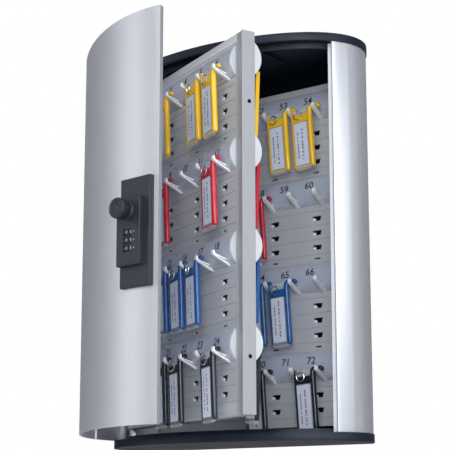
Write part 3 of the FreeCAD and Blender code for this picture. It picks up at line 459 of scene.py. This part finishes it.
def tag_frame():
    """The coloured rail with the thin edge, band and foot line that hold the sleeve."""
    edge = rounded_outline(TAG_LEFT, TAG_LEFT + 1.9, TAG_FOOT, -1.0, 0.8)
    band = rounded_outline(TAG_LEFT + 0.6, RAIL, BAND_LOW, BAND_HIGH, 0.4)
    line = rounded_outline(TAG_LEFT + 0.6, RAIL, TAG_FOOT, TAG_FOOT + 1.3, 0.3)
    return [
        swept(RAIL_PATH, RAIL_RADII),
        plate(edge, -EDGE_HALF, EDGE_HALF),
        plate(band, -BAND_HALF, BAND_HALF),
        plate(line, -LINE_HALF, LINE_HALF),
    ]


def tag_sleeve():
    """The clear sleeve, which reaches a little below the foot line."""
    outline = rounded_outline(TAG_LEFT + 1.0, RAIL - 1.0, TAG_FOOT - 3.0, -1.5, 3.2, 6)
    return [plate(outline, -SLEEVE_HALF, SLEEVE_HALF)]


def tag_insert():
    """The paper, seen from both sides."""
    return [
        slab(PAPER_LEFT, PAPER_RIGHT, -PAPER_OUTER, -PAPER_INNER, PAPER_LOW, PAPER_HIGH),
        slab(PAPER_LEFT, PAPER_RIGHT, PAPER_INNER, PAPER_OUTER, PAPER_LOW, PAPER_HIGH),
    ]


def tag_marks(seed):
    """Rows of short strokes that stand for a label's writing."""
    source = random.Random(seed)
    strokes = []
    for x_low, x_high, start, stop in ((-22.6, -21.2, -55.0, -26.0), (-17.4, -15.6, -57.0, -22.0)):
        z = start
        while z < stop:
            length = source.uniform(0.8, 1.9)
            strokes.append(slab(x_low, x_high, -INK_OUTER, -INK_INNER, z, z + length))
            strokes.append(slab(x_low, x_high, INK_INNER, INK_OUTER, z, z + length))
            z += length + source.choice((0.7, 0.7, 2.2))
    return strokes


RING_CENTRE = (-19.8, -3.1, -8.8)
RING_RADIUS = 4.6
RING_WIRE = 0.6
RING_LEAN = 0.25


def tag_rings(seed):
    """A key ring through the top of the tag, each at its own small turn."""
    source = random.Random(seed)
    tilt = Matrix.Rotation(source.uniform(-RING_LEAN, RING_LEAN), 3, "Z")
    return [torus(RING_CENTRE, RING_RADIUS, RING_WIRE, tilt)]


def tag_set(name, board, body, face, row_top, columns, xs, back_board=None):
    """Every tag of one board: the frames by colour, then sleeves, inserts, marks and rings."""
    sleeves, inserts, marks, rings = [], [], [], []
    for row, colour in enumerate(COLOURS):
        frames = []
        places = [tag_place(xs[column], face, row_top, row) for column in columns[row]]
        if back_board is not None:
            turn = board.inverted() @ back_board
            places.append(turn @ tag_place(REAR_HOOKS[0], face, row_top, row))
        for index, place in enumerate(places):
            seed = f"{name}{row}{index}"
            frames += [moved(part, place) for part in tag_frame()]
            sleeves += [moved(part, place) for part in tag_sleeve()]
            inserts += [moved(part, place) for part in tag_insert()]
            marks += [moved(part, place) for part in tag_marks(seed)]
            rings += [moved(part, place) for part in tag_rings(seed)]
        node = f"{name}_tags_{colour}"
        look = f"tag_{colour}"
        piece(f"{name}_holders_{colour}", frames, board, body, look, (node,))
    sleeve_node = f"{name}_tag_sleeves"
    piece(f"{name}_sleeves", sleeves, board, body, "clear_plastic", (sleeve_node,))
    piece(f"{name}_inserts", inserts, board, body, "tag_paper", (f"{name}_tag_inserts",))
    piece(f"{name}_writing", marks, board, body, "grey_ink")
    piece(f"{name}_rings", rings, board, body, "ring_steel", (f"{name}_key_rings",))


tag_set("leaf", leaf_frame, "leaf", LEAF_FACE, LEAF_TOP, LEAF_COLUMNS, LEAF_HOOKS, rear_frame)
tag_set("board", board_frame, "cabinet", BOARD_FACE, BOARD_TOP, BOARD_COLUMNS, BOARD_HOOKS)


# ---- numbers on the hook strips ----

LABEL_THICK = 0.4
LABEL_BULGE = BULGE - 1.2
LABEL_RADIUS = ((STRIP / 2) ** 2 + LABEL_BULGE**2) / (2 * LABEL_BULGE) + LABEL_THICK
NUMBER_HEIGHT = 7.6
NUMBER_UP = 4.5
NUMBER_SHIFT = -13.0
NUMBER_GAP = 0.03


def number_place(x, face, strip_top):
    """A place on the label's round face, NUMBER_UP above the strip's middle."""
    turn = math.asin(NUMBER_UP / LABEL_RADIUS)
    middle = Vector((x, face - BULGE + LABEL_RADIUS - LABEL_THICK, strip_top - STRIP / 2))
    lean = Matrix.Rotation(-turn, 4, "X")
    out = Matrix.Translation((0, -LABEL_RADIUS - NUMBER_GAP, 0))
    return Matrix.Translation(middle) @ lean @ out


def numbers(name, first, board, body, face, row_top, xs):
    """A board's hook numbers, counted along each row and then down."""
    parts = []
    for row in range(ROWS):
        for column, x in enumerate(xs):
            place = number_place(x + NUMBER_SHIFT, face, row_top - row * ROW_PITCH)
            parts.append(lettering(str(first + row * COLUMNS + column), NUMBER_HEIGHT, place))
    piece(name, parts, board, body, "ink", smooth=20)


numbers("leaf_front_numbers", 1, leaf_frame, "leaf", LEAF_FACE, LEAF_TOP, LEAF_HOOKS)
numbers("leaf_rear_numbers", 25, rear_frame, "leaf", LEAF_FACE, LEAF_TOP, sorted(REAR_HOOKS))
numbers("board_numbers", 49, board_frame, "cabinet", BOARD_FACE, BOARD_TOP, BOARD_HOOKS)


# ---- pale plates for the glints on the tabs in the slats' openings: painted highlight ----

SLAT = ROW_PITCH / 6
FIRST_GROOVE_DROP = 7.0
FIRST_HOLE = FIRST_GROOVE_DROP + SLAT / 2
HOLE_COLUMNS = 4
HOLES_PER_ROW = 3
LAST_ROW_HOLES = 2
BOARD_HOLES = [77 - 52 * index for index in range(HOLE_COLUMNS)]
LEAF_HOLES = [204 - 56 * index for index in range(HOLE_COLUMNS)]
TAB_FRONT = 0.25
TAB_BACK = 1.2


def hole_tabs(face, row_top, xs):
    """A pale plate behind the lower left corner of each opening, painting the glint on its tab as highlight."""
    tab_glints = []
    for row in range(ROWS):
        strip_bottom = row_top - row * ROW_PITCH - STRIP
        for hole in range(HOLES_PER_ROW if row < ROWS - 1 else LAST_ROW_HOLES):
            z = strip_bottom - FIRST_HOLE - hole * SLAT
            for x in xs:
                outline = rounded_outline(x - 4.6, x - 1.4, z - 2.4, z + 0.2, 0.7)
                tab_glints.append(plate(outline, face + TAB_FRONT, face + TAB_BACK))
    return tab_glints


leaf_tab_glints = hole_tabs(LEAF_FACE, LEAF_TOP, LEAF_HOLES)
board_tab_glints = hole_tabs(BOARD_FACE, BOARD_TOP, BOARD_HOLES)
# The white plastic on these plates is painted highlight, the glint on each tab.
piece("leaf_front_tab_glints", leaf_tab_glints, leaf_frame, "leaf", "white_plastic")
piece("board_tab_glints", board_tab_glints, board_frame, "cabinet", "white_plastic")


# ---- leaf trim: flanges on the far post, and clips that close the rear strips' ends ----

POST_LOW = -179.0
POST_HIGH = 186.0
POST_START = 228.0
POST_END = 240.4
RAIL_HEIGHT = 8.6
flanges = [
    slab(
        POST_START - 0.1,
        POST_START + 0.7,
        LEAF_FACE - 1.6,
        LEAF_FACE + 0.3,
        POST_LOW,
        POST_HIGH - RAIL_HEIGHT,
    ),
    slab(POST_END - 1.2, POST_END, LEAF_FACE - 2.0, LEAF_FACE - 0.4, POST_LOW, POST_HIGH),
]
# The flanges share the post's darker aluminium copy, painted shade.
piece("post_flanges", flanges, leaf_frame, "leaf", "post_aluminium_painted_shade", edge=0.2 * MM)


CLIP_BULGE = 7.6
CLIP_EDGE = 0.8
CLIP_STEPS = 12
CLIP_FACE = -6.4
CLIP_START = 236.4
CLIP_END = 240.3


def half_moon(x_low, x_high, face, strip_top):
    """A plate whose outline is flat on the board and bulges out over a strip's end."""
    half = STRIP / 2 + CLIP_EDGE
    radius = (half**2 + CLIP_BULGE**2) / (2 * CLIP_BULGE)
    spread = math.asin(half / radius)
    middle = strip_top - STRIP / 2
    ring = []
    for step in range(2 * CLIP_STEPS + 1):
        turn = spread * (step / CLIP_STEPS - 1)
        out = face + radius - CLIP_BULGE - radius * math.cos(turn)
        ring.append((out, middle + radius * math.sin(turn)))
    return solid_between([[(x, y, z) for y, z in ring] for x in (x_low, x_high)])


strip_tops = [LEAF_TOP - row * ROW_PITCH for row in range(ROWS)]
rear_clips = [half_moon(-CLIP_END, -CLIP_START, CLIP_FACE, strip_top) for strip_top in strip_tops]
# The rear clips take the same grey, painted shade on white plastic.
piece("rear_end_clips", rear_clips, rear_frame, "leaf", "clip_plastic_painted_shade", edge=0.3 * MM)


# ---- lock: knob, numbered wheels and index dots ----

knob_axis = Vector(JOINTS["knob_turn"]["axis"]).normalized()
lock_along = Vector((0, 0, 1)).cross(knob_axis).normalized()
knob_point = joint_place("knob_turn")
# Local X along the plate, Y up and Z out of the door.
lock_turn = Matrix((
    (lock_along.x, 0, knob_axis.x, 0),
    (lock_along.y, 0, knob_axis.y, 0),
    (0, 1, 0, 0),
    (0, 0, 0, 1),
))
lock_frame = Matrix.Translation(knob_point) @ lock_turn


def outward_reach(node):
    """How far a node reaches out along the lock's axis, from the knob joint's point."""
    obj = frame["nodes"][node]
    return max((vertex.co / MM - knob_point).dot(knob_axis) for vertex in obj.data.vertices)


body_front = outward_reach("lock_body")
knob_front = outward_reach("lock_knob")
FLUTES = 18
FLUTE_DEPTH = 0.35
FLUTED_FROM = 8.2


def grip(radius, turn):
    """Shallow flutes round the grip."""
    return -FLUTE_DEPTH * max(0.0, math.cos(FLUTES * turn)) if radius > FLUTED_FROM else 0.0


knob_profile = [
    (0.5, body_front + 0.3), (8.9, body_front + 0.3), (8.9, body_front + 1.6), (8.2, body_front + 2.3),
    (7.8, body_front + 3.2), (7.8, body_front + 4.8), (9.0, body_front + 6.0), (9.5, body_front + 6.6),
    (9.5, knob_front - 1.4), (9.2, knob_front - 0.6), (8.3, knob_front), (7.0, knob_front),
    (6.6, knob_front - 0.5), (6.2, knob_front - 0.7), (0.5, knob_front - 0.7),
]
POINTER_HALF = 0.7
pointer = slab(-POINTER_HALF, POINTER_HALF, 2.0, 5.8, knob_front - 0.7, knob_front - 0.2)
piece(
    "knob_grip", [lathe(knob_profile, 144, grip), pointer], lock_frame, "knob",
    "lock_plastic", ("lock_knob",), smooth=50,
)

WHEELS = ("wheel_1", "wheel_2", "wheel_3")
WHEEL_RADIUS = 7.0
DIGITS = 10
DIGIT_HEIGHT = 2.7
DIGIT_GAP = 0.02
# Local X along the plate, -Y out of the door and Z up, so that a digit's face looks outwards.
wheel_turn = Matrix((
    (lock_along.x, -knob_axis.x, 0, 0),
    (lock_along.y, -knob_axis.y, 0, 0),
    (0, 0, 1, 0),
    (0, 0, 0, 1),
))


def wheel_digits():
    """The ten digits round a wheel whose centre is at the origin."""
    digits = []
    for digit in range(DIGITS):
        turn = Matrix.Rotation(2 * math.pi * digit / DIGITS, 4, "Z")
        face = Matrix.Translation((0, -WHEEL_RADIUS - DIGIT_GAP, 0))
        digits.append(lettering(str(digit), DIGIT_HEIGHT, wheel_turn @ turn @ face))
    return digits


for wheel in WHEELS:
    centre = Matrix.Translation(joint_place(f"{wheel}_turn"))
    piece(f"{wheel}_digits", wheel_digits(), centre, wheel, "pale_ink", smooth=20)

DOT_SIDE = 8.2
DOT_PROFILE = [(0.05, -0.05), (0.6, -0.05), (0.55, 0.12), (0.05, 0.15)]
dots = []
for wheel in WHEELS:
    height = joint_place(f"{wheel}_turn").z - knob_point.z
    dots.append(moved(lathe(DOT_PROFILE, 20), Matrix.Translation((DOT_SIDE, height, body_front))))
piece("lock_index_dots", dots, lock_frame, "door", "pale_ink")


# ---- stage, light and camera ----

FLOOR_REACH = 6.0
FLOOR_LEVEL = -0.62


def stage_plane():
    """A plain pale floor, below the cabinet because the cabinet hangs on a wall."""
    mesh = bpy.data.meshes.new("floor")
    corners = ((-1, -1), (1, -1), (1, 1), (-1, 1))
    vertices = [(FLOOR_REACH * x, FLOOR_REACH * y, FLOOR_LEVEL) for x, y in corners]
    mesh.from_pydata(vertices, [], [(0, 1, 2, 3)])
    floor = bpy.data.objects.new("floor", mesh)
    scene.collection.objects.link(floor)
    mesh.materials.append(plastic("floor_finish", (0.80, 0.80, 0.80), (0.84, 0.84, 0.84), (0.6, 0.7), 40))


def area_light(name, place, target, size_x, size_y, power, colour=(1, 1, 1)):
    """A soft rectangular light that looks at a target."""
    data = bpy.data.lights.new(name, "AREA")
    data.shape = "RECTANGLE"
    data.size = size_x
    data.size_y = size_y
    data.energy = power
    data.color = colour
    obj = bpy.data.objects.new(name, data)
    scene.collection.objects.link(obj)
    obj.location = place
    direction = Vector(target) - Vector(place)
    obj.rotation_euler = direction.to_track_quat("-Z", "Y").to_euler()


def studio():
    """A white surround for the camera, with a dimmer one for everything else."""
    world = bpy.data.worlds.new("studio")
    scene.world = world
    world.use_nodes = True
    nodes, links = world.node_tree.nodes, world.node_tree.links
    nodes.clear()
    seen = nodes.new("ShaderNodeBackground")
    seen.inputs["Color"].default_value = (1, 1, 1, 1)
    seen.inputs["Strength"].default_value = 1.0
    fill = nodes.new("ShaderNodeBackground")
    fill.inputs["Strength"].default_value = 0.32
    coords = nodes.new("ShaderNodeTexCoord")
    axes = nodes.new("ShaderNodeSeparateXYZ")
    links.new(coords.outputs["Generated"], axes.inputs["Vector"])
    ramp = nodes.new("ShaderNodeValToRGB")
    ramp.color_ramp.elements[0].position = 0.0
    ramp.color_ramp.elements[0].color = (0.18, 0.19, 0.21, 1)
    ramp.color_ramp.elements[1].position = 1.0
    ramp.color_ramp.elements[1].color = (1.0, 1.0, 1.0, 1)
    spread = nodes.new("ShaderNodeMapRange")
    spread.inputs["From Min"].default_value = -1.0
    spread.inputs["From Max"].default_value = 0.8
    links.new(axes.outputs["X"], spread.inputs["Value"])
    links.new(spread.outputs["Result"], ramp.inputs["Fac"])
    links.new(ramp.outputs["Color"], fill.inputs["Color"])
    path = nodes.new("ShaderNodeLightPath")
    mix = nodes.new("ShaderNodeMixShader")
    links.new(path.outputs["Is Camera Ray"], mix.inputs["Fac"])
    links.new(fill.outputs["Background"], mix.inputs[1])
    links.new(seen.outputs["Background"], mix.inputs[2])
    out = nodes.new("ShaderNodeOutputWorld")
    links.new(mix.outputs["Shader"], out.inputs["Surface"])


stage_plane()
studio()
COOL_LIGHT = (0.94, 0.97, 1.0)
area_light("key_front", (0.5, -2.2, 1.1), (0, -0.1, 0), 1.6, 1.6, 26)
area_light("near_camera", (1.05, -1.45, 0.1), (0.05, -0.05, 0), 0.5, 0.9, 12, COOL_LIGHT)
area_light("side_right", (1.9, -0.7, 0.3), (0.1, -0.05, 0), 1.3, 2.0, 20, COOL_LIGHT)
area_light("side_left", (-1.7, -1.35, 0.3), (0, -0.2, 0), 0.8, 2.2, 11)
scene.view_settings.view_transform = "Standard"


def camera_at(place, yaw, pitch, lens, shift_x, shift_y):
    """The scene's camera; yaw turns it left of +Y and pitch tips it up, both in degrees."""
    data = bpy.data.cameras.new("photo_camera")
    data.lens = lens
    data.sensor_width = 36
    data.shift_x = shift_x
    data.shift_y = shift_y
    data.clip_start = 0.05
    camera = bpy.data.objects.new("photo_camera", data)
    scene.collection.objects.link(camera)
    camera.location = place
    yaw, pitch = math.radians(yaw), math.radians(pitch)
    forward = Vector((-math.sin(yaw) * math.cos(pitch), math.cos(yaw) * math.cos(pitch), math.sin(pitch)))
    camera.rotation_euler = forward.to_track_quat("-Z", "Y").to_euler()
    scene.camera = camera


camera_at(
    place=(0.7596, -1.1028, -0.2644),
    yaw=36.23,
    pitch=10.44,
    lens=102.46,
    shift_x=0.0075,
    shift_y=0.111,
)
